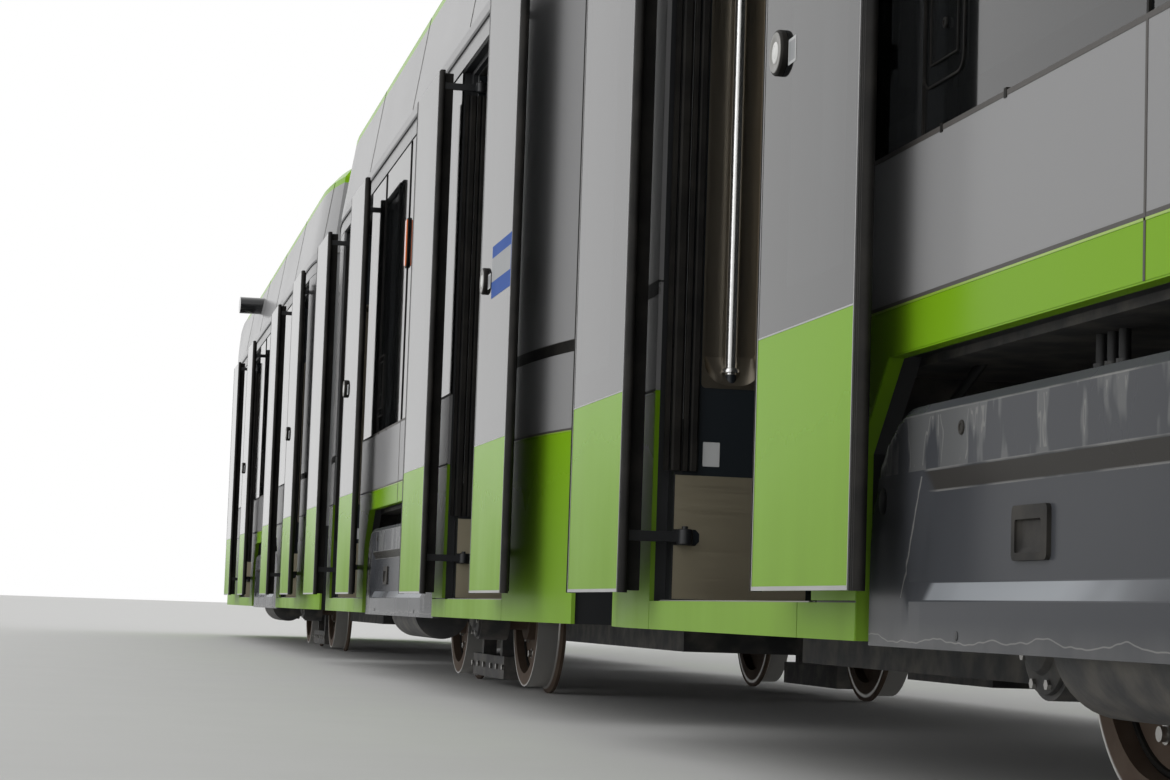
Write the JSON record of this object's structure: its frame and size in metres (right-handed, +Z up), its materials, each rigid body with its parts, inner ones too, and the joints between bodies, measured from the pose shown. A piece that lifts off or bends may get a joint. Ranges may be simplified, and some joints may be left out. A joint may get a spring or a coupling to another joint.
{
  "type": "low-floor articulated tram",
  "caption": "Three-section low-floor tram on three bogies, hinged between sections, with open double doors on one side and a folded pantograph.",
  "frame": {"origin": "on the floor below the middle bogie's centre, level with the tips of the wheel flanges", "axes": "+X along the tram, +Y across it away from the platform side, +Z up"},
  "size_m": [29.3, 2.8, 3.5289],
  "materials": {
    "body_paint": "gloss",
    "wall_frame": "satin",
    "underframe": "matte",
    "tinted_glass": "gloss",
    "equipment": "satin",
    "door_leaf": "gloss",
    "interior": "matte",
    "lamp": "gloss",
    "black_plastic": "matte",
    "bellows": "matte",
    "bogie_steel": "matte",
    "shroud_paint": "satin",
    "wheel_steel": "satin",
    "grey_steel": "satin",
    "contact_strip": "matte"
  },
  "bodies": {
    "section_near": {"underframe_near": "underframe", "side_walls_near": "wall_frame", "skins_near": "body_paint", "glazing_near": "tinted_glass", "roof_near": "body_paint", "roof_equipment_near": "equipment", "doors_near": "door_leaf", "interior_near": "interior", "nose_near": "body_paint", "cab_glass_near": "tinted_glass", "lamps_near": "lamp", "camera_pods_near": "black_plastic", "bellows_near": "bellows"},
    "bogie_near": {"bogie_frame_near": "bogie_steel", "shrouds_near": "shroud_paint"},
    "wheelset_near_a": {"wheelset_near_a": "wheel_steel"},
    "wheelset_near_b": {"wheelset_near_b": "wheel_steel"},
    "section_middle": {"underframe_middle": "underframe", "side_walls_middle": "wall_frame", "skins_middle": "body_paint", "glazing_middle": "tinted_glass", "roof_middle": "body_paint", "roof_equipment_middle": "equipment", "doors_middle": "door_leaf", "interior_middle": "interior", "pantograph_base": "grey_steel"},
    "bogie_middle": {"bogie_frame_middle": "bogie_steel", "shrouds_middle": "shroud_paint"},
    "wheelset_middle_a": {"wheelset_middle_a": "wheel_steel"},
    "wheelset_middle_b": {"wheelset_middle_b": "wheel_steel"},
    "section_far": {"underframe_far": "underframe", "side_walls_far": "wall_frame", "skins_far": "body_paint", "glazing_far": "tinted_glass", "roof_far": "body_paint", "roof_equipment_far": "equipment", "doors_far": "door_leaf", "interior_far": "interior", "nose_far": "body_paint", "cab_glass_far": "tinted_glass", "lamps_far": "lamp", "camera_pods_far": "black_plastic", "bellows_far": "bellows"},
    "bogie_far": {"bogie_frame_far": "bogie_steel", "shrouds_far": "shroud_paint"},
    "wheelset_far_a": {"wheelset_far_a": "wheel_steel"},
    "wheelset_far_b": {"wheelset_far_b": "wheel_steel"},
    "pantograph_lower_arm": {"pantograph_lower_arm": "grey_steel"},
    "pantograph_upper_arm": {"pantograph_upper_arm": "grey_steel"},
    "pantograph_head": {"pantograph_head": "contact_strip"}
  },
  "joints": [
    {"name": "articulation_near", "type": "hinge", "parent": "section_middle", "child": "section_near", "pos_m": [4.07, 0, 0.2], "axis": [0, 0, 1], "range_deg": [-20, 20], "deforming": ["bellows_near"]},
    {"name": "bogie_turn_near", "type": "hinge", "parent": "section_near", "child": "bogie_near", "pos_m": [8.14, 0, 0.4], "axis": [0, 0, 1], "range_deg": [-1.5, 1.5]},
    {"name": "wheelset_near_a_roll", "type": "hinge", "parent": "bogie_near", "child": "wheelset_near_a", "pos_m": [9.065, 0, 0.325], "axis": [0, 1, 0], "continuous": true},
    {"name": "wheelset_near_b_roll", "type": "hinge", "parent": "bogie_near", "child": "wheelset_near_b", "pos_m": [7.215, 0, 0.325], "axis": [0, 1, 0], "continuous": true},
    {"name": "bogie_turn_middle", "type": "hinge", "parent": "section_middle", "child": "bogie_middle", "pos_m": [0, 0, 0.4], "axis": [0, 0, 1], "range_deg": [-1.5, 1.5]},
    {"name": "wheelset_middle_a_roll", "type": "hinge", "parent": "bogie_middle", "child": "wheelset_middle_a", "pos_m": [0.925, 0, 0.325], "axis": [0, 1, 0], "continuous": true},
    {"name": "wheelset_middle_b_roll", "type": "hinge", "parent": "bogie_middle", "child": "wheelset_middle_b", "pos_m": [-0.925, 0, 0.325], "axis": [0, 1, 0], "continuous": true},
    {"name": "articulation_far", "type": "hinge", "parent": "section_middle", "child": "section_far", "pos_m": [-4.07, 0, 0.2], "axis": [0, 0, 1], "range_deg": [-20, 20], "deforming": ["bellows_far"]},
    {"name": "bogie_turn_far", "type": "hinge", "parent": "section_far", "child": "bogie_far", "pos_m": [-8.14, 0, 0.4], "axis": [0, 0, 1], "range_deg": [-1.5, 1.5]},
    {"name": "wheelset_far_a_roll", "type": "hinge", "parent": "bogie_far", "child": "wheelset_far_a", "pos_m": [-7.215, 0, 0.325], "axis": [0, 1, 0], "continuous": true},
    {"name": "wheelset_far_b_roll", "type": "hinge", "parent": "bogie_far", "child": "wheelset_far_b", "pos_m": [-9.065, 0, 0.325], "axis": [0, 1, 0], "continuous": true},
    {"name": "pantograph_raise", "type": "hinge", "parent": "section_middle", "child": "pantograph_lower_arm", "pos_m": [-0.7, 0, 3.165], "axis": [0, -1, 0], "range_deg": [0, 50]},
    {"name": "pantograph_knee", "type": "hinge", "parent": "pantograph_lower_arm", "child": "pantograph_upper_arm", "pos_m": [0.79429, 0, 3.29573], "axis": [0, 1, 0], "range_deg": [0, 100]},
    {"name": "pantograph_head_level", "type": "hinge", "parent": "pantograph_upper_arm", "child": "pantograph_head", "pos_m": [-0.88162, 0, 3.41292], "axis": [0, -1, 0], "range_deg": [0, 50]}
  ],
  "couplings": [
    {"joint": "pantograph_knee", "follows": "pantograph_raise", "ratio": 2},
    {"joint": "pantograph_head_level", "follows": "pantograph_raise", "ratio": 1}
  ]
}
